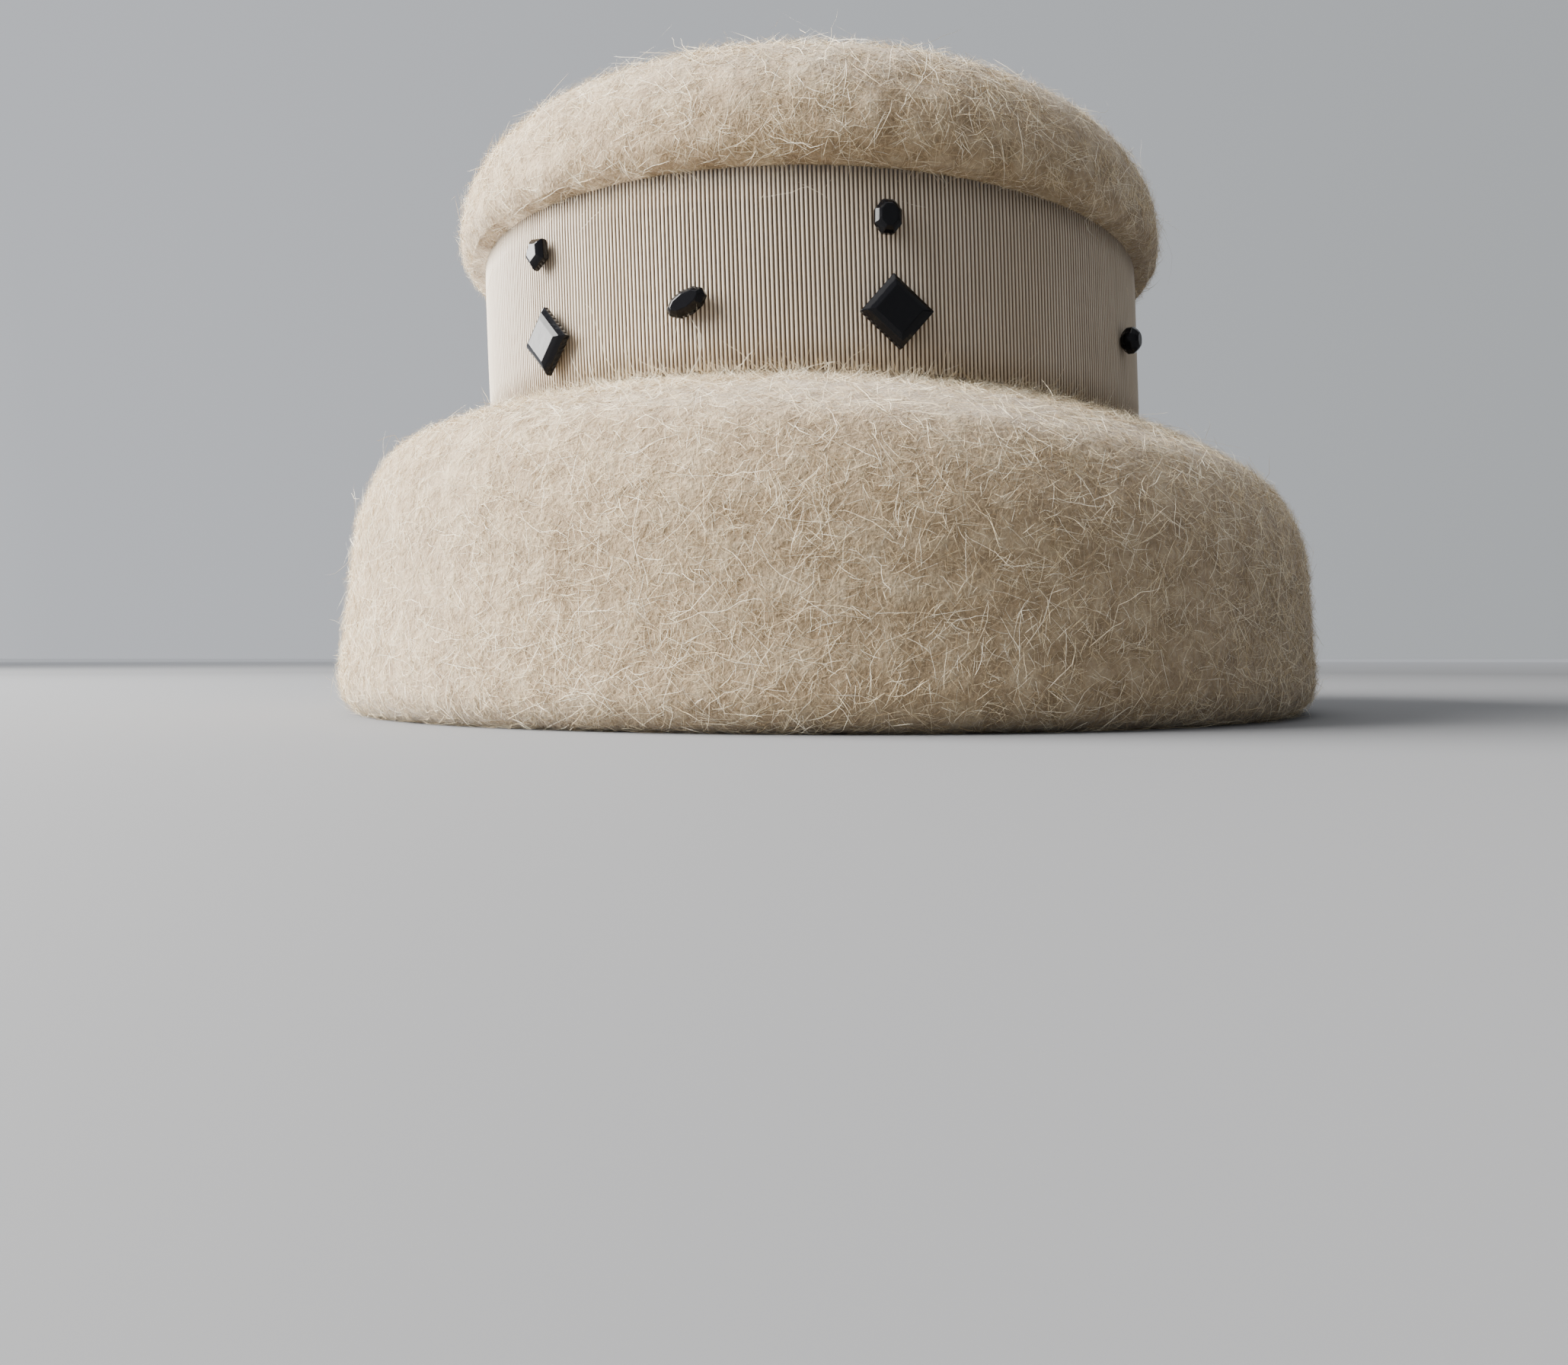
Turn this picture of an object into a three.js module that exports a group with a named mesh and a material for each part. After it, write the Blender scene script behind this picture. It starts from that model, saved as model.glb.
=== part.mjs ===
// A cloche hat of long-haired felt: a domed oval crown, a deep turned-down brim that rolls under
// into a hem, a corded welt on the hem's free edge, a grosgrain band round the headline, and six
// faceted beads sewn to the band.
// Millimetres, +Z up. The hat stands on its rim at z = 0 and its front faces -Y.
import * as THREE from "three";

// Felt and clearances
const FELT = 3;
const CLEARANCE = 0.3;

// Plan ovals: half widths across the head, and how much longer the half length is
const HEAD_HALF_WIDTH = 87.8;
const CROWN_HALF_WIDTH = 94.6;
const RIM_HALF_WIDTH = 129.2;
const EXTRA_LENGTH = 13;

// Heights above the surface that the rim rests on
const ROOT_HEIGHT = 73.7;
const COLLAR_HEIGHT = 84;
const CROWN_HEIGHT = 160;

// Rolled rim, hem and welt
const OUTER_ROLL_RADIUS = 8;
const INNER_ROLL_RADIUS = 4.5;
const RESTING_WIDTH = 2;
const HEM_HEIGHT = 20.3;
const HEM_LEAN = 2.2;
const WELT_DIAMETER = 3.6;

// Grosgrain band
const BAND_WIDTH = 42;
const BAND_THICKNESS = 1;

// How far the crown sits off the rim's centre, and how much the shoulder falls towards +X for each
// millimetre across
const SWAY = 4.2;
const SLANT = 0.045;

// Facets of the curved pieces
const ROUND_SIDES = 56;
const CROWN_STEPS = 14;
const BRIM_STEPS = 13;
const ROLL_STEPS = 3;
const WELT_SIDES = 8;

// The crown's outside above the band: out is the share of its fullest half width, up is the share
// of the way from the band's upper edge to the top.
const CROWN_SECTION = [
  { out: 0.975, up: 0.02 },
  { out: 0.996, up: 0.08 },
  { out: 1.0, up: 0.17 },
  { out: 0.987, up: 0.34 },
  { out: 0.932, up: 0.53 },
  { out: 0.82, up: 0.7 },
  { out: 0.63, up: 0.84 },
  { out: 0.35, up: 0.95 },
  { out: 0.0, up: 1.0 },
];

// The brim's outside from its root to its widest ring: out is the share of the way from the crown
// to the widest ring, up is the share of the root's height.
const BRIM_SECTION = [
  { out: 0.0, up: 1.0 },
  { out: 0.09, up: 0.965 },
  { out: 0.3, up: 0.93 },
  { out: 0.54, up: 0.865 },
  { out: 0.75, up: 0.775 },
  { out: 0.9, up: 0.595 },
  { out: 0.95, up: 0.38 },
  { out: 1.0, up: 0.14 },
];

// How the hat's oval changes with height, which is a share of the root's height: longer is a share
// of the extra length, sway a share of the crown's sway, and fall a share of the slant.
const PLAN = [
  { height: 0.0, longer: 0.8, sway: 0.0, fall: 0.0 },
  { height: 0.15, longer: 0.82, sway: 0.0, fall: 0.03 },
  { height: 0.4, longer: 0.98, sway: 0.15, fall: 0.25 },
  { height: 0.82, longer: 1.22, sway: 0.25, fall: 1.0 },
  { height: 1.0, longer: 1.0, sway: -0.6, fall: 0.4 },
  { height: 1.6, longer: 1.0, sway: -0.95, fall: 0.3 },
  { height: 2.2, longer: 1.0, sway: -1.0, fall: 0.1 },
];

// Beads, all on the band: angle in degrees from the front towards +X, up as a share of the band's
// width, turn in degrees in the band's surface.
const BEADS = [
  { name: "bead_pentagon", form: "pentagon", angle: -43.2, up: 0.74, turn: 8 },
  { name: "bead_square_side", form: "square", angle: -41.4, up: 0.25, turn: 137 },
  { name: "bead_oval", form: "oval", angle: -17.2, up: 0.33, turn: 25 },
  { name: "bead_cushion", form: "cushion", angle: 9.6, up: 0.74, turn: 0 },
  { name: "bead_square_front", form: "square", angle: 10.4, up: 0.28, turn: -41 },
  { name: "bead_round", form: "round", angle: 56.5, up: 0.42, turn: 0 },
];

// Bead forms: width and length across the girdle, thickness over all, sides of the outline, and
// the table's inset from the girdle.
const BEAD_FORMS = {
  square: { width: 11.5, length: 10.7, thickness: 4, sides: 4, inset: 2 },
  pentagon: { width: 7.8, length: 7.8, thickness: 3.6, sides: 5, inset: 1.4 },
  oval: { width: 9, length: 5.2, thickness: 3.8, sides: 10, inset: 1.2 },
  cushion: { width: 5.8, length: 7, thickness: 3.8, sides: 8, inset: 1.2 },
  round: { width: 6.2, length: 6.2, thickness: 4.4, sides: 10, inset: 1.5 },
};

const CREAM_RIBBON = new THREE.Color(0.86, 0.82, 0.74);
const OATMEAL_FELT = new THREE.Color(0.72, 0.64, 0.53);
const TAN_FELT = new THREE.Color(0.6, 0.5, 0.4);
const JET_BLACK = new THREE.Color(0.02, 0.02, 0.022);

function felt(color) {
  return new THREE.MeshStandardMaterial({ color, roughness: 0.95, metalness: 0 });
}

function tableValue(table, key, value, at) {
  const next = table.findIndex((row) => row[key] >= at);
  if (next < 0) return table[table.length - 1][value];
  if (next === 0) return table[0][value];
  const low = table[next - 1];
  const high = table[next];
  const share = (at - low[key]) / (high[key] - low[key]);
  return THREE.MathUtils.lerp(low[value], high[value], share);
}

function planValue(value, height) {
  return tableValue(PLAN, "height", value, height / ROOT_HEIGHT);
}

// Turns a point given by its angle from the front, its half width and its height into a point of
// the oval, swayed and slanted hat. Inside the crown's wall the oval shrinks in proportion, so
// that the dome closes in one point.
function onHat(angle, radius, height) {
  const wallShare = Math.min(1, radius / (HEAD_HALF_WIDTH - FELT));
  const longer = EXTRA_LENGTH * planValue("longer", height) * wallShare;
  const x = radius * Math.sin(angle);
  const y = -(radius + longer) * Math.cos(angle);
  const fall = SLANT * planValue("fall", height) * x;
  return new THREE.Vector3(x + SWAY * planValue("sway", height), y, height - fall);
}

// Sweeps a section of half widths and heights round the hat.
function sweep(section) {
  const geometry = new THREE.LatheGeometry(section, ROUND_SIDES);
  const position = geometry.getAttribute("position");
  for (let i = 0; i < position.count; i += 1) {
    const radius = Math.hypot(position.getX(i), position.getZ(i));
    const angle = Math.atan2(position.getX(i), position.getZ(i));
    const point = onHat(angle, radius, position.getY(i));
    position.setXYZ(i, point.x, point.y, point.z);
  }
  geometry.computeVertexNormals();
  return geometry;
}

// Moves an open run of section points sideways by a distance, to its right-hand side.
function offsetRun(points, distance) {
  return points.map((point, i) => {
    const before = points[Math.max(i - 1, 0)];
    const after = points[Math.min(i + 1, points.length - 1)];
    const along = after.clone().sub(before).normalize();
    return new THREE.Vector2(point.x + along.y * distance, point.y - along.x * distance);
  });
}

function arc(centreX, centreY, radius, fromDegrees, toDegrees) {
  const from = THREE.MathUtils.degToRad(fromDegrees);
  const to = THREE.MathUtils.degToRad(toDegrees);
  const curve = new THREE.EllipseCurve(centreX, centreY, radius, radius, from, to, to < from);
  return curve.getPoints(ROLL_STEPS);
}

// The crown's wall stands behind the band, and above the band it swells out before it domes over.
function crownGeometry() {
  const bandTop = ROOT_HEIGHT + CLEARANCE + BAND_WIDTH;
  const rise = CROWN_HEIGHT - bandTop;
  const swell = new THREE.SplineCurve(
    CROWN_SECTION.map((row) => {
      return new THREE.Vector2(row.out * CROWN_HALF_WIDTH, bandTop + row.up * rise);
    }),
  ).getPoints(CROWN_STEPS);
  const outside = [
    new THREE.Vector2(HEAD_HALF_WIDTH, COLLAR_HEIGHT + CLEARANCE),
    new THREE.Vector2(HEAD_HALF_WIDTH, bandTop + CLEARANCE),
    ...swell,
  ];
  const inside = offsetRun(outside, -FELT);
  inside[inside.length - 1].x = 0;
  return sweep([...inside.reverse(), ...outside]);
}

// The run of the brim's face: down the collar, over the shoulder, down to the widest ring, round
// the rolled rim and up the hem's face to its free edge.
function brimFace() {
  const reach = RIM_HALF_WIDTH - HEAD_HALF_WIDTH;
  const shoulder = new THREE.SplineCurve(
    BRIM_SECTION.map((row) => {
      return new THREE.Vector2(HEAD_HALF_WIDTH + row.out * reach, row.up * ROOT_HEIGHT);
    }),
  ).getPoints(BRIM_STEPS);
  const outerCentre = RIM_HALF_WIDTH - OUTER_ROLL_RADIUS;
  const innerCentre = outerCentre - RESTING_WIDTH;
  const outerRoll = arc(outerCentre, OUTER_ROLL_RADIUS, OUTER_ROLL_RADIUS, 0, -90);
  const innerRoll = arc(innerCentre, INNER_ROLL_RADIUS, INNER_ROLL_RADIUS, -90, -180);
  const hemFoot = innerCentre - INNER_ROLL_RADIUS;
  return [
    new THREE.Vector2(HEAD_HALF_WIDTH, COLLAR_HEIGHT),
    ...shoulder,
    ...outerRoll,
    ...innerRoll,
    new THREE.Vector2(hemFoot - HEM_LEAN, HEM_HEIGHT),
  ];
}

function brimGeometry() {
  const face = brimFace();
  const back = offsetRun(face, FELT).reverse();
  return sweep([...face, ...back, face[0]].reverse());
}

function weltGeometry() {
  const edge = brimFace().pop();
  const radius = WELT_DIAMETER / 2;
  const centreX = edge.x + FELT / 2;
  const centreY = edge.y + CLEARANCE + radius;
  const ring = new THREE.EllipseCurve(centreX, centreY, radius, radius, 0, 2 * Math.PI);
  return sweep(ring.getPoints(WELT_SIDES));
}

function bandGeometry() {
  const inner = HEAD_HALF_WIDTH + CLEARANCE;
  const outer = inner + BAND_THICKNESS;
  const low = ROOT_HEIGHT + CLEARANCE;
  const high = low + BAND_WIDTH;
  return sweep([
    new THREE.Vector2(inner, low),
    new THREE.Vector2(outer, low),
    new THREE.Vector2(outer, high),
    new THREE.Vector2(inner, high),
    new THREE.Vector2(inner, low),
  ]);
}

// The girdle outline of a bead, flat side up where it has four or eight sides.
function beadOutline({ width, length, sides }) {
  const half = Math.PI / sides;
  const reach = sides % 2 === 0 ? 1 / Math.cos(half) : 1;
  return new THREE.Shape(
    Array.from({ length: sides }, (_, i) => {
      const angle = Math.PI / 2 + (sides % 2 === 0 ? half : 0) + 2 * half * i;
      const across = Math.cos(angle) * reach * (width / 2);
      const along = Math.sin(angle) * reach * (length / 2);
      return new THREE.Vector2(across, along);
    }),
  );
}

// A cut bead: a flat back and a flat table, each ringed by sloping facets that meet the girdle.
function beadGeometry(form) {
  const slope = form.thickness * 0.35;
  const geometry = new THREE.ExtrudeGeometry(beadOutline(form), {
    depth: form.thickness - 2 * slope,
    bevelEnabled: true,
    bevelSegments: 1,
    bevelThickness: slope,
    bevelSize: form.inset,
    bevelOffset: -form.inset,
    steps: 1,
  });
  return geometry.translate(0, 0, slope);
}

function bead({ name, form, angle, up, turn }) {
  const material = new THREE.MeshStandardMaterial({
    color: JET_BLACK,
    roughness: 0.08,
    metalness: 0,
  });
  const mesh = new THREE.Mesh(beadGeometry(BEAD_FORMS[form]), material);
  mesh.name = name;
  const around = THREE.MathUtils.degToRad(angle);
  const height = ROOT_HEIGHT + CLEARANCE + up * BAND_WIDTH;
  const seat = onHat(around, HEAD_HALF_WIDTH + BAND_THICKNESS + 2 * CLEARANCE, height);
  const width = HEAD_HALF_WIDTH;
  const length = HEAD_HALF_WIDTH + EXTRA_LENGTH;
  const outward = new THREE.Vector3(Math.sin(around) / width, -Math.cos(around) / length, 0);
  outward.normalize();
  const up3 = new THREE.Vector3(0, 0, 1);
  const across = new THREE.Vector3().crossVectors(up3, outward);
  const basis = new THREE.Matrix4().makeBasis(across, up3, outward);
  mesh.quaternion.setFromRotationMatrix(basis);
  mesh.rotateZ(THREE.MathUtils.degToRad(turn));
  mesh.position.copy(seat);
  return mesh;
}

function piece(name, geometry, material) {
  const mesh = new THREE.Mesh(geometry, material);
  mesh.name = name;
  return mesh;
}

const hat = new THREE.Group();
hat.add(
  piece("crown", crownGeometry(), felt(OATMEAL_FELT)),
  piece("brim", brimGeometry(), felt(OATMEAL_FELT)),
  piece("hem_welt", weltGeometry(), felt(TAN_FELT)),
  piece("ribbon_band", bandGeometry(), felt(CREAM_RIBBON)),
  ...BEADS.map(bead),
);

export default hat;
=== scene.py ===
"""Dresses the CAD frame of a long-haired felt cloche with a grosgrain band and six jet beads.

The hat's classes hold their sizes in millimetres, and the studio's floor and lamps are in metres.
Meshes are made in metres, in the CAD's frame: +Z is up, the hat stands on its rim at z = 0 and its
front faces -Y.
"""

import logging
import math
from dataclasses import dataclass, field, replace
from enum import Enum

import bmesh
import bpy
import numpy as np
from mathutils import Matrix, Vector, noise

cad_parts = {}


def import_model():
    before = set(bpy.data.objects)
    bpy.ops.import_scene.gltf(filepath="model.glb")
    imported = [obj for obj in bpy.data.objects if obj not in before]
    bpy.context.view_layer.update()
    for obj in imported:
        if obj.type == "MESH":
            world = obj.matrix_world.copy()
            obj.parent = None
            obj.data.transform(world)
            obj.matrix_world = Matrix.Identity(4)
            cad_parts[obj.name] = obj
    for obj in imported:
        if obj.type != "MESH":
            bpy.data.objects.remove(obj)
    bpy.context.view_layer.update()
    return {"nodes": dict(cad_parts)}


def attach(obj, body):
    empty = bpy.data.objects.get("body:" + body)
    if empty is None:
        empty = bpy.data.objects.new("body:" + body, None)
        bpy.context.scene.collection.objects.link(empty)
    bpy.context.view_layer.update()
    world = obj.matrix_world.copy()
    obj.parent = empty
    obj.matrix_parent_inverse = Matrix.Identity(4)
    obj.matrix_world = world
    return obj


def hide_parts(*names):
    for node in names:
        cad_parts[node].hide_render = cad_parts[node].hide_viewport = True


LOG = logging.getLogger("cloche")
MM = 0.001
BODY = "root"
# Metres within which two corners are the same one
MERGED = 1e-7
# Keeps a length of nothing from being divided by
NOT_ZERO = 1e-12
# Sets the noise of the clumps apart from that of the locks
CLUMP_SHIFT = Vector((9.0, 3.0, 5.0))

Colour = tuple[float, float, float, float]
Row = tuple[float, ...]
# Wavelengths in millimetres, and how much each counts
Lumps = tuple[Row, Row]
# Places from 0 to 1, each with its colour
Stops = tuple[tuple[float, Colour], ...]


class Slot(Enum):
    """The record's material slots."""

    FELT = "felt"
    HEM_FELT = "hem_felt"
    GROSGRAIN = "grosgrain"
    JET = "jet_glass"


class Cut(Enum):
    """The outlines that the beads are cut to."""

    SQUARE = "square"
    PENTAGON = "pentagon"
    OVAL = "oval"
    CUSHION = "cushion"
    ROUND = "round"


# Curves and the hat's plan


def spline_run(knots: np.ndarray, steps: int) -> np.ndarray:
    """Runs a smooth curve through section points.

    Args:
        knots: section points, one row of half width and height each.
        steps: number of steps along the whole curve.

    Returns:
        The curve's points, one more than the steps.
    """
    last = len(knots) - 1
    along = np.linspace(0.0, last, steps + 1)
    start = np.minimum(along.astype(int), last - 1)
    t = (along - start)[:, None]
    p0 = knots[np.maximum(start - 1, 0)]
    p1 = knots[start]
    p2 = knots[start + 1]
    p3 = knots[np.minimum(start + 2, last)]
    v0 = (p2 - p0) * 0.5
    v1 = (p3 - p1) * 0.5
    cubic = (2 * p1 - 2 * p2 + v0 + v1) * t**3
    return cubic + (-3 * p1 + 3 * p2 - 2 * v0 - v1) * t**2 + v0 * t + p1


def arc_run(centre: Row, radius: float, start: float, end: float, steps: int) -> np.ndarray:
    """Returns section points on an arc, between two angles in degrees."""
    angle = np.radians(np.linspace(start, end, steps + 1))
    return np.stack([centre[0] + radius * np.cos(angle), centre[1] + radius * np.sin(angle)], 1)


def offset_run(points: np.ndarray, distance: float) -> np.ndarray:
    """Moves an open run of section points sideways.

    Args:
        points: the run's points, one row each.
        distance: how far they move to the run's right-hand side, in millimetres.

    Returns:
        The moved points.
    """
    along = np.empty_like(points)
    along[1:-1] = points[2:] - points[:-2]
    along[0] = points[1] - points[0]
    along[-1] = points[-1] - points[-2]
    along /= np.linalg.norm(along, axis=1, keepdims=True)
    return points + np.stack([along[:, 1], -along[:, 0]], 1) * distance


@dataclass(frozen=True)
class HatPlan:
    """The sizes of the felt body, and the oval that its sections are swept round."""

    felt: float = 3.0
    clearance: float = 0.3
    head_half_width: float = 87.8
    crown_half_width: float = 94.6
    rim_half_width: float = 129.2
    extra_length: float = 13.0
    root_height: float = 73.7
    collar_height: float = 84.0
    crown_height: float = 160.0
    outer_roll: float = 8.0
    inner_roll: float = 4.5
    resting_width: float = 2.0
    hem_height: float = 20.3
    hem_lean: float = 2.2
    welt_diameter: float = 3.6
    band_width: float = 42.0
    band_thickness: float = 1.0
    sway: float = 4.2
    slant: float = 0.045
    # Points on the crown's upright wall behind the band
    wall_points: int = 6
    # Shares of the crown's fullest half width, and of the way from the band's top to the crown's
    crown_rows: tuple[Row, ...] = (
        (0.975, 0.02), (0.996, 0.08), (1.0, 0.17), (0.987, 0.34), (0.932, 0.53),
        (0.82, 0.7), (0.63, 0.84), (0.35, 0.95), (0.0, 1.0),
    )
    # Shares of the way out from the crown to the widest ring, and of the root's height
    brim_rows: tuple[Row, ...] = (
        (0.0, 1.0), (0.09, 0.965), (0.3, 0.93), (0.54, 0.865), (0.75, 0.775),
        (0.9, 0.595), (0.95, 0.38), (1.0, 0.14),
    )
    # Height as a share of the root's, then shares of the extra length, the sway and the slant
    plan_rows: tuple[Row, ...] = (
        (0.0, 0.8, 0.0, 0.0), (0.15, 0.82, 0.0, 0.03), (0.4, 0.98, 0.15, 0.25),
        (0.82, 1.22, 0.25, 1.0), (1.0, 1.0, -0.6, 0.4), (1.6, 1.0, -0.95, 0.3),
        (2.2, 1.0, -1.0, 0.1),
    )

    @property
    def band_low(self) -> float:
        """The height of the band's lower edge."""
        return self.root_height + self.clearance

    @property
    def band_high(self) -> float:
        """The height of the band's upper edge."""
        return self.band_low + self.band_width

    @property
    def band_face(self) -> float:
        """The half width of the band's outer face."""
        return self.head_half_width + self.clearance + self.band_thickness

    def place(self, angle: np.ndarray, radius: np.ndarray, height: np.ndarray) -> np.ndarray:
        """Places points of the oval, swayed and slanted hat.

        Args:
            angle: angles from the front towards +X, in radians.
            radius: half widths in millimetres.
            height: heights in millimetres.

        Returns:
            The places in metres, one row each.
        """
        rows = np.array(self.plan_rows)
        share = height / self.root_height
        wall = np.minimum(1.0, radius / (self.head_half_width - self.felt))
        longer = self.extra_length * np.interp(share, rows[:, 0], rows[:, 1]) * wall
        x = radius * np.sin(angle)
        y = -(radius + longer) * np.cos(angle)
        fall = self.slant * np.interp(share, rows[:, 0], rows[:, 3]) * x
        sway = self.sway * np.interp(share, rows[:, 0], rows[:, 2])
        return np.stack([x + sway, y, height - fall], -1) * MM

    def crown_face(self, steps: int) -> np.ndarray:
        """Runs up the crown's outside, from behind the band to the top.

        Args:
            steps: steps along the dome, above the wall behind the band.

        Returns:
            The section's points, the wall's first.
        """
        rise = self.crown_height - self.band_high + self.clearance
        low = self.band_high - self.clearance
        knots = np.array(self.crown_rows) * [self.crown_half_width, rise] + [0.0, low]
        foot = self.collar_height + self.clearance
        wall = np.linspace(foot, self.band_high, self.wall_points)
        straight = np.stack([np.full(self.wall_points, self.head_half_width), wall], 1)
        return np.concatenate([straight, spline_run(knots, steps)])

    def brim_shoulder(self, steps: int) -> np.ndarray:
        """Runs down the brim's outside, from its root to its widest ring.

        Args:
            steps: steps along the shoulder.

        Returns:
            The section's points.
        """
        reach = self.rim_half_width - self.head_half_width
        knots = np.array(self.brim_rows) * [reach, self.root_height] + [self.head_half_width, 0.0]
        return spline_run(knots, steps)

    def brim_roll(self, steps: int) -> np.ndarray:
        """Runs round the rolled rim, from the widest ring down and under to the hem's foot.

        Args:
            steps: steps round the outer roll; the inner one has half as many.

        Returns:
            The section's points.
        """
        outer = self.rim_half_width - self.outer_roll
        inner = outer - self.resting_width
        return np.concatenate([
            arc_run((outer, self.outer_roll), self.outer_roll, 0, -90, steps),
            arc_run((inner, self.inner_roll), self.inner_roll, -90, -180, steps // 2),
        ])

    def hem_edge(self) -> np.ndarray:
        """Returns the section point at the hem's free edge."""
        foot = self.rim_half_width - self.outer_roll - self.resting_width - self.inner_roll
        return np.array([foot - self.hem_lean, self.hem_height])


# Mesh helpers


def finish_piece(mesh: bmesh.types.BMesh, name: str, materials: list[bpy.types.Material],
                 replaces: str | None = None, smooth: bool = True) -> None:
    """Turns a bmesh into a named piece that rides on the hat's one body.

    Args:
        mesh: the finished mesh, which is freed.
        name: the piece's name.
        materials: its materials, in the order of the faces' material indices.
        replaces: the CAD node that the piece stands for, if any.
        smooth: whether faces are shaded smooth.
    """
    for face in mesh.faces:
        face.smooth = smooth
    data = bpy.data.meshes.new(name)
    mesh.to_mesh(data)
    mesh.free()
    adopt(data, name, materials, replaces)


def adopt(data: bpy.types.Mesh, name: str, materials: list[bpy.types.Material],
          replaces: str | None = None) -> None:
    """Links a mesh as a piece, gives it its materials and hands it to the frame.

    Args:
        data: the piece's mesh.
        name: the piece's name.
        materials: its materials, in the order of the faces' material indices.
        replaces: the CAD node that the piece stands for, if any.
    """
    for material in materials:
        data.materials.append(material)
    piece = bpy.data.objects.new(name, data)
    bpy.context.scene.collection.objects.link(piece)
    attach(piece, BODY)
    if replaces:
        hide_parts(replaces)
    LOG.info("%s: %d triangles", name, len(data.loops) - 2 * len(data.polygons))


def layered_noise(place: Vector, lumps: Lumps) -> float:
    """Sums noise at the lumps' wavelengths, at a place in metres."""
    return sum(share * noise.noise(place / (length * MM)) for length, share in zip(*lumps))


def roughen(vertices: list[bmesh.types.BMVert], lumps: Lumps, relief: float) -> None:
    """Pushes vertices in and out along their normals.

    Args:
        vertices: the vertices to move.
        lumps: the lumps' wavelengths and their shares.
        relief: how far a share of one goes, in millimetres.
    """
    for vertex in vertices:
        vertex.co += vertex.normal * layered_noise(vertex.co, lumps) * relief * MM


@dataclass
class Sweep:
    """A closed section swept round the hat's oval.

    Attributes:
        plan: the hat's sizes.
        section: section points in millimetres, in order round the section.
        sides: steps round the hat.
    """

    plan: HatPlan
    section: np.ndarray
    sides: int

    def spun(self) -> bmesh.types.BMesh:
        """Spins the section's outline round the axis.

        Returns:
            The swept mesh, still round.
        """
        mesh = bmesh.new()
        points = [mesh.verts.new((r * MM, 0.0, z * MM)) for r, z in self.section]
        run = [mesh.edges.new(pair) for pair in zip(points, points[1:] + points[:1])]
        bmesh.ops.spin(mesh, geom=points + run, cent=(0, 0, 0), axis=(0, 0, 1), dvec=(0, 0, 0),
                       angle=2 * math.pi, steps=self.sides, use_merge=True, use_duplicate=False)
        bmesh.ops.remove_doubles(mesh, verts=mesh.verts[:], dist=MERGED)
        return mesh

    def lofted(self) -> bmesh.types.BMesh:
        """Extrudes one circle from section point to section point, for very many sides.

        Returns:
            The swept mesh, still round.
        """
        mesh = bmesh.new()
        radius, height = self.section[0]
        bmesh.ops.create_circle(mesh, cap_ends=False, segments=self.sides, radius=radius * MM,
                                matrix=Matrix.Translation((0, 0, height * MM)))
        first = ring = mesh.edges[:]
        for next_radius, next_height in self.section[1:]:
            made = bmesh.ops.extrude_edge_only(mesh, edges=ring)["geom"]
            corners = [item for item in made if isinstance(item, bmesh.types.BMVert)]
            moved = set(corners)
            ring = [item for item in made if isinstance(item, bmesh.types.BMEdge)
                    and item.verts[0] in moved and item.verts[1] in moved]
            share = next_radius / radius
            bmesh.ops.scale(mesh, vec=(share, share, 1.0), verts=corners)
            bmesh.ops.translate(mesh, vec=(0, 0, (next_height - height) * MM), verts=corners)
            radius, height = next_radius, next_height
        bmesh.ops.bridge_loops(mesh, edges=first + ring)
        return mesh

    def build(self, many_sides: bool = False) -> tuple[bmesh.types.BMesh, np.ndarray, np.ndarray]:
        """Sweeps the section, then carries each ring to its place on the oval.

        Args:
            many_sides: whether to loft circles, which is quicker with thousands of sides.

        Returns:
            The mesh, and for each vertex the index of the section point that it came from and
            its angle from the front.
        """
        mesh = self.lofted() if many_sides else self.spun()
        round_places = np.array([vertex.co[:] for vertex in mesh.verts]) / MM
        radius = np.hypot(round_places[:, 0], round_places[:, 1])
        height = round_places[:, 2]
        apart = (radius[:, None] - self.section[:, 0]) ** 2
        apart += (height[:, None] - self.section[:, 1]) ** 2
        rings = apart.argmin(axis=1)
        angles = np.arctan2(round_places[:, 0], -round_places[:, 1])
        for vertex, place in zip(mesh.verts, self.plan.place(angles, radius, height)):
            vertex.co = place
        bmesh.ops.recalc_face_normals(mesh, faces=mesh.faces[:])
        mesh.verts.index_update()
        mesh.normal_update()
        return mesh, rings, angles


# Finishes


def colour_ramp(node: bpy.types.Node, stops: Stops) -> None:
    """Sets a colour ramp node's places and colours.

    Args:
        node: the colour ramp node, which starts with two stops.
        stops: its places and colours, in order.
    """
    elements = node.color_ramp.elements
    while len(elements) < len(stops):
        elements.new(0.5)
    for element, (at, colour) in zip(elements, stops):
        element.position = at
        element.color = colour


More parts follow.
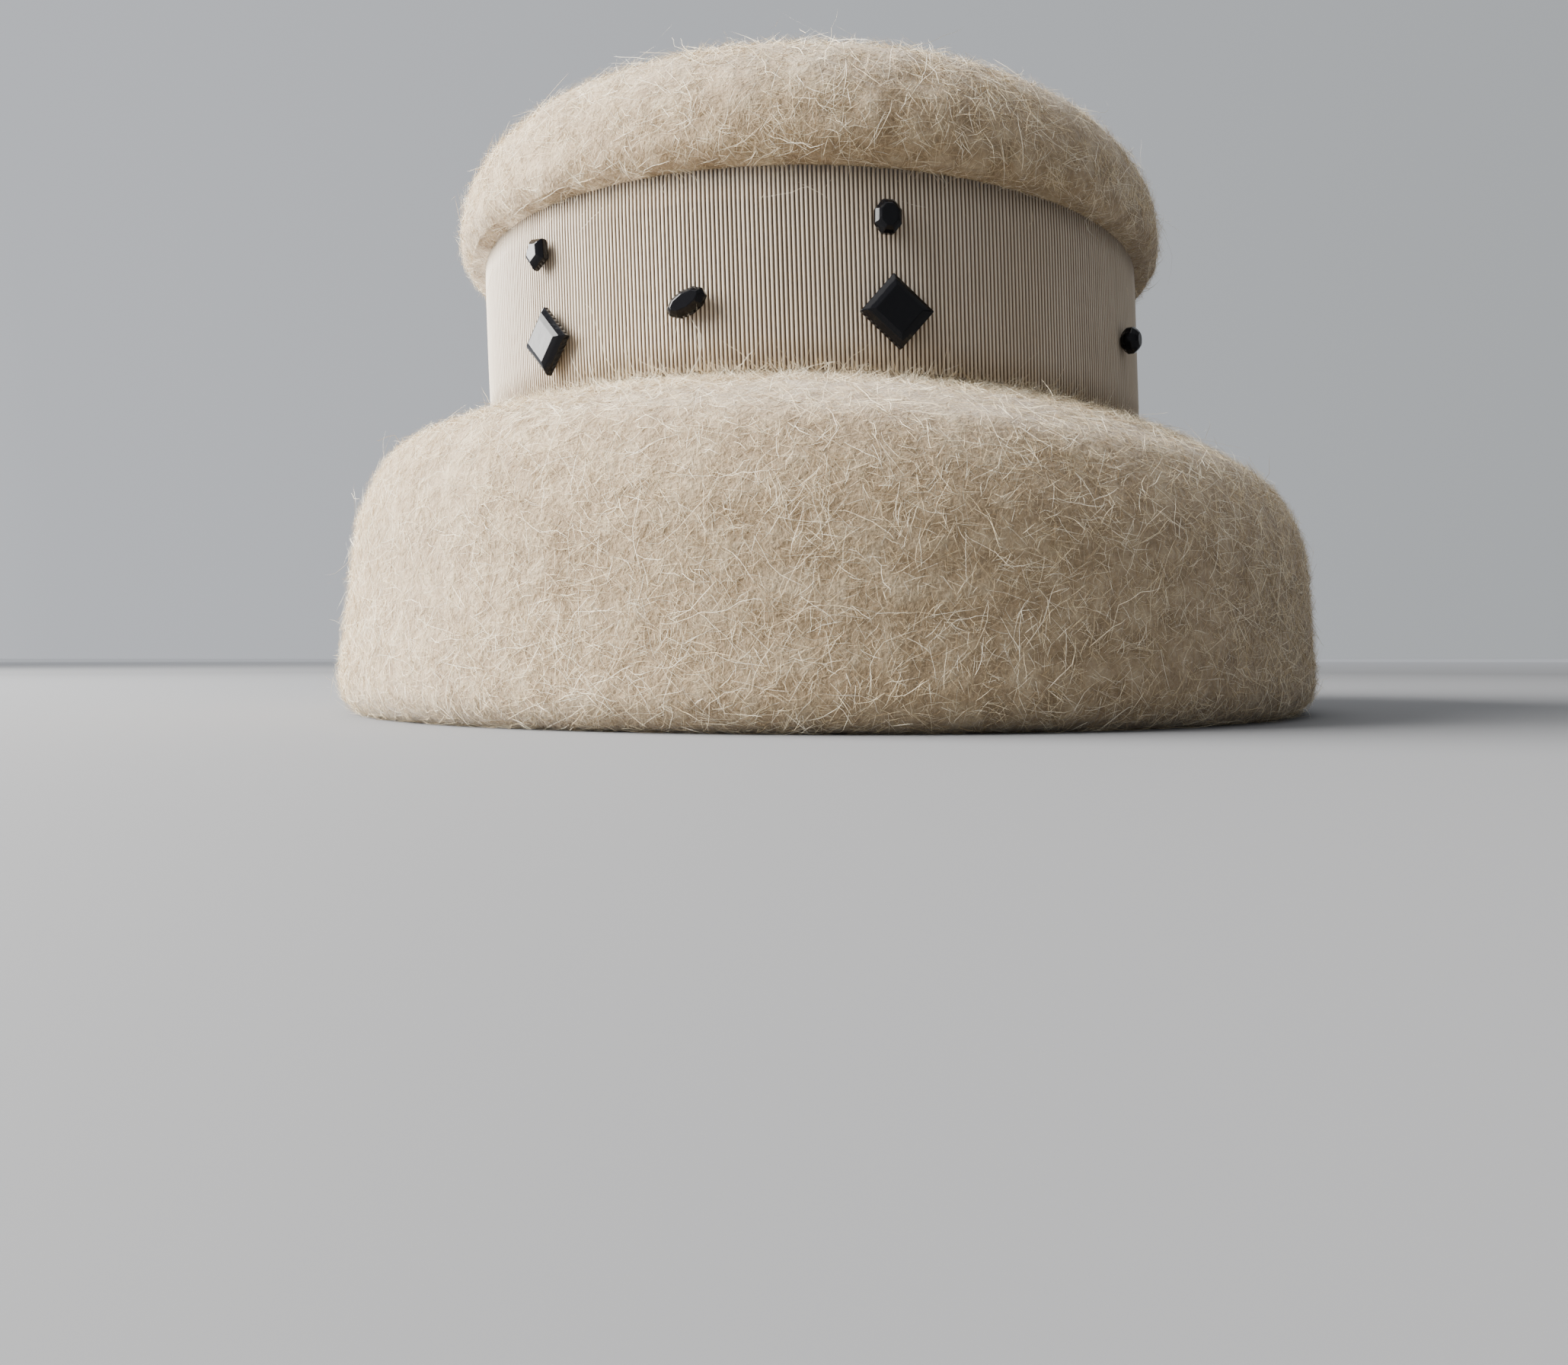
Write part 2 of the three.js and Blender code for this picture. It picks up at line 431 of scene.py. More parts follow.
class Shader:
    """A material's node tree, with short ways to add and join its nodes."""

    def __init__(self, name: str) -> None:
        """Starts a material with one Principled shader.

        Args:
            name: the material's name.
        """
        self.material = bpy.data.materials.new(name)
        self.material.use_nodes = True
        self.tree = self.material.node_tree
        self.surface = self.tree.nodes["Principled BSDF"]
        self.place = self.node("ShaderNodeTexCoord").outputs["Object"]

    def node(self, kind: str, **settings: object) -> bpy.types.Node:
        """Adds a node.

        Args:
            kind: the node's type.
            settings: properties to set on it.

        Returns:
            The node.
        """
        made = self.tree.nodes.new(kind)
        for key, value in settings.items():
            setattr(made, key, value)
        return made

    def join(self, source: bpy.types.NodeSocket, target: bpy.types.NodeSocket) -> None:
        """Links one socket to another."""
        self.tree.links.new(source, target)

    def set(self, **values: object) -> None:
        """Sets the Principled shader's own sockets, named with underscores for spaces."""
        for key, value in values.items():
            self.surface.inputs[key.replace("_", " ")].default_value = value

    def cloud(self, length: float, detail: float = 2.0, rough: float = 0.5,
              stretch: Row = (1.0, 1.0, 1.0)) -> bpy.types.NodeSocket:
        """Adds noise on Object coordinates.

        Args:
            length: the wavelength in millimetres.
            detail: octaves of finer noise.
            rough: how strong the finer octaves are.
            stretch: scale of the coordinates along X, Y and Z.

        Returns:
            The noise's value socket.
        """
        mapping = self.node("ShaderNodeMapping")
        mapping.inputs["Scale"].default_value = stretch
        self.join(self.place, mapping.inputs["Vector"])
        texture = self.node("ShaderNodeTexNoise")
        texture.inputs["Scale"].default_value = 1.0 / (length * MM)
        texture.inputs["Detail"].default_value = detail
        texture.inputs["Roughness"].default_value = rough
        self.join(mapping.outputs["Vector"], texture.inputs["Vector"])
        return texture.outputs["Fac"]

    def ramp(self, source: bpy.types.NodeSocket, stops: Stops) -> bpy.types.NodeSocket:
        """Adds a colour ramp.

        Args:
            source: the value that picks the colour.
            stops: the ramp's places and colours, in order.

        Returns:
            The colour's socket.
        """
        ramp = self.node("ShaderNodeValToRGB")
        colour_ramp(ramp, stops)
        self.join(source, ramp.inputs["Fac"])
        return ramp.outputs["Color"]

    def blend(self, share: float, low: bpy.types.NodeSocket, high: bpy.types.NodeSocket,
              mode: str = "MIX") -> bpy.types.NodeSocket:
        """Mixes two colours.

        Args:
            share: how much of the second colour is mixed in.
            low: the first colour's socket.
            high: the second colour's socket.
            mode: how they are mixed.

        Returns:
            The mixed colour's socket.
        """
        mix = self.node("ShaderNodeMix", data_type="RGBA", blend_type=mode)
        mix.inputs["Factor"].default_value = share
        self.join(low, mix.inputs["A"])
        self.join(high, mix.inputs["B"])
        return mix.outputs["Result"]

    def relief(self, layers: tuple[tuple[bpy.types.NodeSocket, float], ...]) -> None:
        """Chains bump nodes into the surface's normal.

        Args:
            layers: each layer's socket and its height in millimetres.
        """
        normal = None
        for height, depth in layers:
            bump = self.node("ShaderNodeBump")
            bump.inputs["Distance"].default_value = depth * MM
            self.join(height, bump.inputs["Height"])
            if normal is not None:
                self.join(normal, bump.inputs["Normal"])
            normal = bump.outputs["Normal"]
        self.join(normal, self.surface.inputs["Normal"])


@dataclass(frozen=True)
class WoolFelt:
    """The felt's outer face, seen between the hairs: mottled oatmeal, with painted shade in its low
    pits.
    """

    pit_shade: Colour = (0.17, 0.11, 0.052, 1.0)
    body: Colour = (0.32, 0.23, 0.13, 1.0)
    tuft: Colour = (0.50, 0.40, 0.26, 1.0)
    roughness: float = 0.95

    def material(self) -> bpy.types.Material:
        """Builds the finish.

        Returns:
            The material.
        """
        shader = Shader("oatmeal_felt")
        mottle = shader.cloud(length=6.0, detail=4.0, rough=0.6)
        lint = shader.cloud(length=1.1, detail=3.0, rough=0.65)
        # Both ramps darken to painted shade where the bump below is lowest, in the pits
        broad = shader.ramp(mottle, ((0.32, self.pit_shade), (0.5, self.body), (0.66, self.tuft)))
        fine = shader.ramp(lint, ((0.3, self.pit_shade), (0.55, self.body), (0.75, self.tuft)))
        shader.join(shader.blend(0.5, broad, fine), shader.surface.inputs["Base Color"])
        shader.set(Roughness=self.roughness, Sheen_Weight=0.25, Sheen_Roughness=0.6)
        shader.relief(((mottle, 0.8), (lint, 0.5)))
        return shader.material


@dataclass(frozen=True)
class SmoothFelt:
    """The pressed felt of the hem and the lining side: warm tan with a short nap."""

    shade: Colour = (0.38, 0.245, 0.145, 1.0)
    body: Colour = (0.56, 0.40, 0.265, 1.0)
    light: Colour = (0.68, 0.52, 0.37, 1.0)

    def material(self) -> bpy.types.Material:
        """Builds the finish.

        Returns:
            The material.
        """
        shader = Shader("tan_hem_felt")
        broad = shader.cloud(length=14.0, detail=3.0, rough=0.5)
        nap = shader.cloud(length=0.9, detail=4.0, rough=0.7)
        low = shader.ramp(broad, ((0.3, self.shade), (0.5, self.body), (0.72, self.light)))
        high = shader.ramp(nap, ((0.3, self.shade), (0.55, self.body), (0.78, self.light)))
        shader.join(shader.blend(0.45, low, high), shader.surface.inputs["Base Color"])
        shader.set(Roughness=0.9, Sheen_Weight=0.2, Sheen_Roughness=0.5)
        shader.relief(((broad, 0.3), (nap, 0.22)))
        return shader.material


@dataclass(frozen=True)
class FibreFinish:
    """Single hairs of the pile, from dark ones, with painted shade at their roots, to pale tips."""

    # The darkest stop, which the painted shade at the hairs' roots also reaches
    deep: Colour = (0.29, 0.195, 0.095, 1.0)
    body: Colour = (0.68, 0.55, 0.345, 1.0)
    pale: Colour = (0.96, 0.90, 0.74, 1.0)

    def material(self) -> bpy.types.Material:
        """Builds the finish, which reads each hair's own tone from its mesh.

        Returns:
            The material.
        """
        shader = Shader("pile_fibre")
        tone = shader.node("ShaderNodeAttribute", attribute_name="tone")
        colour = shader.ramp(tone.outputs["Fac"],
                             ((0.0, self.deep), (0.5, self.body), (1.0, self.pale)))
        shader.join(colour, shader.surface.inputs["Base Color"])
        shader.set(Roughness=0.7, Sheen_Weight=0.3, Sheen_Roughness=0.5,
                   Specular_IOR_Level=0.2)
        return shader.material


@dataclass(frozen=True)
class Grosgrain:
    """Cream ribbon whose ribs are modelled: silky threads, with painted shade darkening the grooves
    between them.
    """

    groove_shade: Colour = (0.11, 0.068, 0.038, 1.0)
    thread: Colour = (0.36, 0.285, 0.205, 1.0)
    crest: Colour = (0.62, 0.55, 0.455, 1.0)
    # Shades that the colour is multiplied by
    streaked: Colour = (0.86, 0.85, 0.83, 1.0)
    soiled: Colour = (0.93, 0.91, 0.88, 1.0)
    clean: Colour = (1.0, 1.0, 1.0, 1.0)

    def material(self) -> bpy.types.Material:
        """Builds the finish, which reads how high on its rib each point lies.

        Returns:
            The material.
        """
        shader = Shader("cream_grosgrain")
        rib = shader.node("ShaderNodeAttribute", attribute_name="rib").outputs["Fac"]
        # The colour darkens from each rib's crest down into the grooves: painted shade
        base = shader.ramp(rib, ((0.48, self.groove_shade), (0.83, self.thread), (1.0, self.crest)))
        streak = shader.cloud(length=1.6, detail=3.0, rough=0.6, stretch=(1.0, 1.0, 0.06))
        uneven = shader.ramp(streak, ((0.3, self.streaked), (0.7, self.clean)))
        soil = shader.cloud(length=30.0, detail=3.0, rough=0.5)
        dull = shader.ramp(soil, ((0.35, self.soiled), (0.6, self.clean)))
        colour = shader.blend(1.0, base, uneven, "MULTIPLY")
        shader.join(shader.blend(1.0, colour, dull, "MULTIPLY"),
                    shader.surface.inputs["Base Color"])
        thread = shader.cloud(length=0.28, detail=2.0, rough=0.5, stretch=(0.35, 0.35, 1.0))
        shader.set(Roughness=0.62, Sheen_Weight=0.25, Sheen_Roughness=0.35,
                   Specular_IOR_Level=0.35)
        shader.relief(((thread, 0.018), (streak, 0.012)))
        return shader.material


@dataclass(frozen=True)
class JetGlass:
    """Opaque black glass, cut and polished, with the faint ripple of old facets."""

    colour: Colour = (0.004, 0.004, 0.005, 1.0)
    # Values of the scuffing noise that the roughness runs between, and the roughness at each
    scuffed: tuple[float, float] = (0.45, 0.8)
    roughness: tuple[float, float] = (0.04, 0.22)

    def material(self) -> bpy.types.Material:
        """Builds the finish.

        Returns:
            The material.
        """
        shader = Shader("jet_glass")
        ripple = shader.cloud(length=2.4, detail=2.0, rough=0.4)
        scuff = shader.cloud(length=0.5, detail=3.0, rough=0.6)
        rough = shader.node("ShaderNodeMapRange")
        for key, value in zip(("From Min", "From Max", "To Min", "To Max"),
                              self.scuffed + self.roughness):
            rough.inputs[key].default_value = value
        shader.join(scuff, rough.inputs["Value"])
        shader.join(rough.outputs["Result"], shader.surface.inputs["Roughness"])
        shader.set(Base_Color=self.colour, IOR=1.5, Specular_IOR_Level=0.16)
        shader.relief(((ripple, 0.05),))
        return shader.material


# The pile


@dataclass(frozen=True)
class Hair:
    """One kind of hair in a coat.

    Attributes:
        count: number of hairs.
        joints: segments of each hair.
        length: shortest and longest hair.
        lift: lowest and highest tip above the felt.
        width: width of a hair at its root.
        sprawl: how far hairs turn from their lock's direction, in radians.
        curl: how far a hair turns along its length, in radians.
        tone: mean tone and its spread, from 0 dark to 1 pale.
        seed: seed of this kind's own random numbers.
        tuft: how much lift and tone vary from clump to clump; the tone's share is painted light on
            the raised clumps and painted shade between them.
        rows: first and last section points that it grows between, if not on the whole coat.
    """

    count: int
    joints: int
    length: tuple[float, float]
    lift: tuple[float, float]
    width: float
    sprawl: float
    curl: float
    tone: tuple[float, float]
    seed: int
    tuft: float = 0.45
    rows: tuple[int, int] | None = None


SHORT_PILE = Hair(count=65000, joints=2, length=(3.5, 7.5), lift=(0.3, 2.0), width=0.09,
                  sprawl=1.0, curl=0.6, tone=(0.5, 0.3), seed=21)
GUARD_HAIR = Hair(count=9500, joints=6, length=(6.0, 17.0), lift=(0.7, 2.6), width=0.085,
                  sprawl=1.3, curl=0.55, tone=(0.74, 0.2), seed=24)
# The root fringe hairs are real, but their pale tone is a painted highlight: the light rim along
# the brim's ridge below the band
ROOT_FRINGE = Hair(count=9000, joints=2, length=(2.5, 5.5), lift=(0.8, 2.6), width=0.08,
                   sprawl=1.6, curl=0.8, tone=(0.8, 0.15), seed=25, rows=(2, 9))
STRAY_HAIR = Hair(count=420, joints=8, length=(9.0, 22.0), lift=(3.0, 7.0), width=0.07,
                  sprawl=1.6, curl=1.1, tone=(0.8, 0.15), seed=26)


@dataclass
class Pile:
    """Hairs that lie over a swept face, each a thin strip that ends in a point.

    Attributes:
        name: the piece's name.
        plan: the hat's sizes.
        section: the face's run, with lead-ins before and after the part that hairs grow on.
        grown: first and last section points between which hairs are rooted.
        outward: 1 if the face lies to the right of the run, -1 if to its left.
        hair: the kind of hair.
        lock: wavelength of the locks that share a direction.
        clump: wavelength of the clumps that share a lift.
        root: how deep in the felt hairs start.
        lowness: power that keeps most hairs low.
        rise: least and greatest power of a hair's climb along its length.
        pole: least half width that a stride round the hat is turned to an angle with.
        floor: lowest height of any hair above the surface that the hat rests on.
        twist: furthest turn of a strip about its own length, in radians.
        taper: the strip's width near its tip, as a share of that at its root.
        thickness: least and greatest share of the width that single hairs have.
        root_shade: how much painted shade darkens a hair's tone at its root.
        tuft_shade: how much of a clump's thickness goes into its hairs' tone, as painted light on
            the raised clumps and painted shade between them.
    """

    name: str
    plan: HatPlan
    section: np.ndarray
    grown: tuple[int, int]
    outward: int
    hair: Hair
    lock: float = 14.0
    clump: float = 7.0
    root: float = 0.35
    lowness: float = 1.6
    rise: tuple[float, float] = (0.9, 1.8)
    pole: float = 10.0
    floor: float = 0.05
    twist: float = 1.1
    taper: float = 0.55
    thickness: tuple[float, float] = (0.7, 1.3)
    root_shade: float = 0.22
    tuft_shade: float = 0.4

    def lay(self, material: bpy.types.Material) -> None:
        """Grows the hairs and joins them in one mesh.

        Args:
            material: the hairs' finish.
        """
        hair = self.hair
        random = np.random.default_rng(hair.seed)
        steps = np.hypot(*np.diff(self.section, axis=0).T)
        along = np.concatenate([[0.0], np.cumsum(steps)])
        tangent = np.gradient(self.section, along, axis=0)
        tangent /= np.linalg.norm(tangent, axis=1, keepdims=True)
        normal = np.stack([tangent[:, 1], -tangent[:, 0]], 1) * self.outward
        first, last = self.grown
        weight = np.abs(self.section[first:last, 0]) + np.abs(self.section[first + 1:last + 1, 0])
        share = np.concatenate([[0.0], np.cumsum(weight * steps[first:last])])
        s = np.interp(random.random(hair.count) * share[-1], share, along[first:last + 1])
        a = random.uniform(-math.pi, math.pi, hair.count)

        def ground(a: np.ndarray, s: np.ndarray) -> tuple[np.ndarray, np.ndarray]:
            """Finds the face's places.

            Args:
                a: angles from the front.
                s: lengths along the section.

            Returns:
                The places in metres, and the outward directions there.
            """
            r = np.interp(s, along, self.section[:, 0])
            z = np.interp(s, along, self.section[:, 1])
            n_r = np.interp(s, along, normal[:, 0])
            n_z = np.interp(s, along, normal[:, 1])
            out = np.stack([np.sin(a) * n_r, -np.cos(a) * n_r, n_z], -1)
            out /= np.linalg.norm(out, axis=-1, keepdims=True)
            return self.plan.place(a, r, z), out

        places = [Vector(place) for place in ground(a, s)[0]]
        lock = np.array([noise.noise(place / (self.lock * MM)) for place in places])
        thick = np.array([noise.noise(place / (self.clump * MM) + CLUMP_SHIFT) for place in places])
        heading = lock * 2 * math.pi + random.normal(0.0, hair.sprawl, hair.count)
        heading += np.where(random.random(hair.count) < 0.5, math.pi, 0.0)
        length = random.uniform(*hair.length, hair.count)
        height_share = random.random(hair.count) ** self.lowness
        lift = hair.lift[0] + (hair.lift[1] - hair.lift[0]) * height_share
        lift *= 1.0 + hair.tuft * thick
        bend = random.normal(0.0, hair.curl, hair.count)
        rise = random.uniform(*self.rise, hair.count)
        knots = []
        outs = []
        for joint in range(hair.joints + 1):
            t = joint / hair.joints
            if joint:
                turn = heading + bend * (t - 0.5 / hair.joints)
                turn += random.normal(0.0, hair.curl / 4, hair.count)
                stride = length / hair.joints
                wide = np.maximum(np.abs(np.interp(s, along, self.section[:, 0])), self.pole)
                a = a + np.cos(turn) * stride / wide
                s = s + np.sin(turn) * stride
            place, out = ground(a, s)
            height = -self.root + (lift + self.root) * t**rise
            knots.append(place + out * height[:, None] * MM)
            outs.append(out)
        path = np.stack(knots, 1)
        path[:, :, 2] = np.maximum(path[:, :, 2], self.floor * MM)
        self.strips(path, np.stack(outs, 1), thick, random, material)

    def strips(self, path: np.ndarray, outs: np.ndarray, thick: np.ndarray,
               random: np.random.Generator, material: bpy.types.Material) -> None:
        """Widens each path to a strip of triangles and stores every hair's tone.

        Args:
            path: each hair's knots in metres.
            outs: the outward direction at each knot.
            thick: how thick each hair's clump is.
            random: this pile's random numbers.
            material: the hairs' finish.
        """
        hair = self.hair
        count, knots = path.shape[:2]
        along = np.gradient(path, axis=1)
        along /= np.linalg.norm(along, axis=2, keepdims=True) + NOT_ZERO
        side = np.cross(along, outs)
        side /= np.linalg.norm(side, axis=2, keepdims=True) + NOT_ZERO
        front = np.cross(side, along)
        twist = random.uniform(-self.twist, self.twist, count)[:, None, None]
        side = side * np.cos(twist) + front * np.sin(twist)
        taper = np.linspace(1.0, self.taper, knots)[None, :, None]
        half = side * taper * hair.width * 0.5 * MM
        half = half * random.uniform(*self.thickness, count)[:, None, None]
        left = (path - half)[:, :-1]
        right = (path + half)[:, :-1]
        body = np.stack([left, right], 2).reshape(count, -1, 3)
        points = np.concatenate([body, path[:, -1:]], 1)
        size = points.shape[1]
        pattern = []
        for joint in range(knots - 2):
            a = 2 * joint
            pattern += [(a, a + 1, a + 3), (a, a + 3, a + 2)]
        pattern.append((size - 3, size - 2, size - 1))
        corners = (np.arange(count)[:, None, None] * size + np.array(pattern)[None]).reshape(-1)
        # Painted light and shade: hairs of the thicker, higher clumps are paler
        tone = random.normal(*hair.tone, count) + self.tuft_shade * hair.tuft * thick
        tone = np.clip(tone, 0.0, 1.0)
        # Painted shade: each hair's tone darkens towards its root
        shade = np.repeat(tone[:, None], size, 1) - np.linspace(self.root_shade, 0.0, size)[None]
        data = bpy.data.meshes.new(self.name)
        data.vertices.add(count * size)
        data.vertices.foreach_set("co", points.reshape(-1).astype(np.float32))
        data.loops.add(len(corners))
        data.loops.foreach_set("vertex_index", corners.astype(np.int32))
        data.polygons.add(len(corners) // 3)
        data.polygons.foreach_set("loop_start", np.arange(0, len(corners), 3, dtype=np.int32))
        data.attributes.new("tone", "FLOAT", "POINT")
        data.attributes["tone"].data.foreach_set(
            "value", np.clip(shade, 0.0, 1.0).reshape(-1).astype(np.float32))
        data.update(calc_edges=True)
        data.shade_smooth()
        adopt(data, self.name, [material])


# The felt body


@dataclass
class FeltCrown:
    """The domed crown: a felt shell with a rough face, and its coat of hair above the band.

    Attributes:
        plan: the hat's sizes.
        sides: steps round the hat.
        face_steps: steps up the dome.
        inside_step: of how many points up the dome the inner face keeps one.
        beyond: points past the top that hairs may lie on.
        lumps: the outer face's lumps above the band.
        relief: how far a lump stands out.
        hairs: the coat, short hair first and longer hair over it.
    """

    plan: HatPlan
    sides: int = 240
    face_steps: int = 60
    inside_step: int = 3
    beyond: int = 12
    lumps: Lumps = ((40.0, 8.0, 3.5), (0.6, 1.3, 0.5))
    relief: float = 0.55
    hairs: dict[str, Hair] = field(default_factory=lambda: {
        "crown_short_pile": replace(SHORT_PILE, count=62000, lift=(0.3, 2.1), tone=(0.52, 0.3),
                                    seed=11, tuft=0.8),
        "crown_guard_hair": replace(GUARD_HAIR, count=3600, lift=(0.8, 3.0), seed=12),
        "crown_stray_hair": replace(STRAY_HAIR, count=220, lift=(3.0, 8.0), seed=13),
    })

    def build(self, wool: bpy.types.Material, lining: bpy.types.Material,
              fibre: bpy.types.Material) -> None:
        """Builds the shell and its pile.

        Args:
            wool: the outer face's finish.
            lining: the inner face's finish.
            fibre: the hairs' finish.
        """
        face = self.plan.crown_face(self.face_steps)
        inside = offset_run(face, -self.plan.felt)
        # The corner between the wall and the dome keeps all its points
        corner = self.plan.wall_points + 1
        dome = inside[corner + self.inside_step - 1:-1:self.inside_step]
        inside = np.concatenate([inside[:corner], dome, [[0.0, inside[-1, 1]]]])
        section = np.concatenate([inside[::-1], face])
        mesh, rings, _ = Sweep(self.plan, section, self.sides).build()
        above_band = len(inside) + self.plan.wall_points
        roughen([vertex for vertex in mesh.verts if rings[vertex.index] > above_band],
                self.lumps, self.relief)
        for polygon in mesh.faces:
            polygon.material_index = 0 if rings[polygon.verts[0].index] >= len(inside) else 1
        finish_piece(mesh, "felt_crown", [wool, lining], "crown")
        self.coat(face, fibre)

    def coat(self, face: np.ndarray, fibre: bpy.types.Material) -> None:
        """Lays the crown's pile, from where the dome stands out past the wall up to the top.

        Args:
            face: the outer face's section points.
            fibre: the hairs' finish.
        """
        start = int(np.argmax(face[:, 0] > self.plan.head_half_width + 0.1)) - 1
        run = np.concatenate([face, face[-self.beyond:-1][::-1] * [-1.0, 1.0]])
        for name, hair in self.hairs.items():
            Pile(name, self.plan, run, (start, len(face) - 1), 1, hair).lay(fibre)


@dataclass
class FeltBrim:
    """The turned-down brim with its rolled rim and hem, and its coat of hair.

    Attributes:
        plan: the hat's sizes.
        sides: steps round the hat.
        shoulder_steps: steps down the shoulder.
        roll_steps: steps round the outer roll of the rim.
        hem_steps: steps up the hem.
        back_step: of how many points the inner face keeps one.
        lumps: the shoulder's lumps.
        relief: how far a lump stands out.
        hidden_rows: section points at the root that the band's foot hides.
        over_band: heights above the root of the places on the band that hairs may lie on.
        off_band: how far from the band's face they lie there.
        hairs: the coat, short hair first and longer hair over it.
    """

    plan: HatPlan
    sides: int = 300
    shoulder_steps: int = 64
    roll_steps: int = 14
    hem_steps: int = 7
    back_step: int = 3
    lumps: Lumps = ((45.0, 9.0, 3.5), (0.9, 0.6, 0.4))
    relief: float = 0.4
    hidden_rows: int = 3
    over_band: Row = (22.0, 2.0)
    off_band: float = 0.5
    hairs: dict[str, Hair] = field(default_factory=lambda: {
        "brim_short_pile_1": SHORT_PILE,
        "brim_short_pile_2": replace(SHORT_PILE, seed=22),
        "brim_guard_hair": GUARD_HAIR,
        "brim_root_fringe": ROOT_FRINGE,
        "brim_stray_hair": STRAY_HAIR,
    })

    def build(self, wool: bpy.types.Material, hem: bpy.types.Material,
              fibre: bpy.types.Material) -> None:
        """Builds the shell and its pile.

        Args:
            wool: the outer face's finish.
            hem: the finish of the hem and the inner face.
            fibre: the hairs' finish.
        """
        plan = self.plan
        shoulder = plan.brim_shoulder(self.shoulder_steps)
        roll = plan.brim_roll(self.roll_steps)[1:]
        hem_run = np.linspace(roll[-1], plan.hem_edge(), self.hem_steps + 1)[1:]
        collar = np.array([[plan.head_half_width, plan.collar_height]])
        face = np.concatenate([collar, shoulder, roll, hem_run])
        coarse = np.concatenate([face[:-1:self.back_step], face[-1:]])
        section = np.concatenate([face, offset_run(coarse, plan.felt)[::-1]])
        mesh, rings, _ = Sweep(plan, section, self.sides).build()
        # The lumps end a little past the widest ring, and the wool goes on under the rim
        lumps_end = len(collar) + len(shoulder) + self.roll_steps // 4
        wool_end = lumps_end + self.roll_steps
        roughen([vertex for vertex in mesh.verts
                 if self.hidden_rows <= rings[vertex.index] < lumps_end],
                self.lumps, self.relief)
        for polygon in mesh.faces:
            lowest = min(rings[vertex.index] for vertex in polygon.verts)
            polygon.material_index = 0 if lowest < wool_end else 1
        finish_piece(mesh, "felt_brim", [wool, hem], "brim")
        self.coat(shoulder, roll, fibre)

    def coat(self, shoulder: np.ndarray, roll: np.ndarray, fibre: bpy.types.Material) -> None:
        """Lays the brim's pile, and lets the hairs at its root reach over the band.

        Args:
            shoulder: the section points from the root to the widest ring.
            roll: the section points round the rim.
            fibre: the hairs' finish.
        """
        plan = self.plan
        over = np.array([[plan.band_face + self.off_band, plan.root_height + rise]
                         for rise in self.over_band])
        run = np.concatenate([over, shoulder[self.hidden_rows:], roll])
        grown = (len(over), len(over) + len(shoulder) - self.hidden_rows + self.roll_steps)
        for name, hair in self.hairs.items():
            Pile(name, plan, run, hair.rows or grown, -1, hair).lay(fibre)


@dataclass
class HemWelt:
    """The corded edge of the hem: felt wrapped round a cord."""

    plan: HatPlan
    sides: int = 260
    round_steps: int = 14
    lumps: Lumps = ((12.0, 4.0), (0.7, 0.5))
    relief: float = 0.18

    def build(self, hem: bpy.types.Material) -> None:
        """Builds the cord.

        Args:
            hem: its finish.
        """
        edge = self.plan.hem_edge()
        radius = self.plan.welt_diameter / 2
        centre = (edge[0] + self.plan.felt / 2, edge[1] + self.plan.clearance + radius)
        ring = arc_run(centre, radius, 0, 360, self.round_steps)[:-1]
        mesh, _, _ = Sweep(self.plan, ring, self.sides).build()
        roughen(mesh.verts[:], self.lumps, self.relief)
        finish_piece(mesh, "corded_welt", [hem], "hem_welt")


# The band and its beads


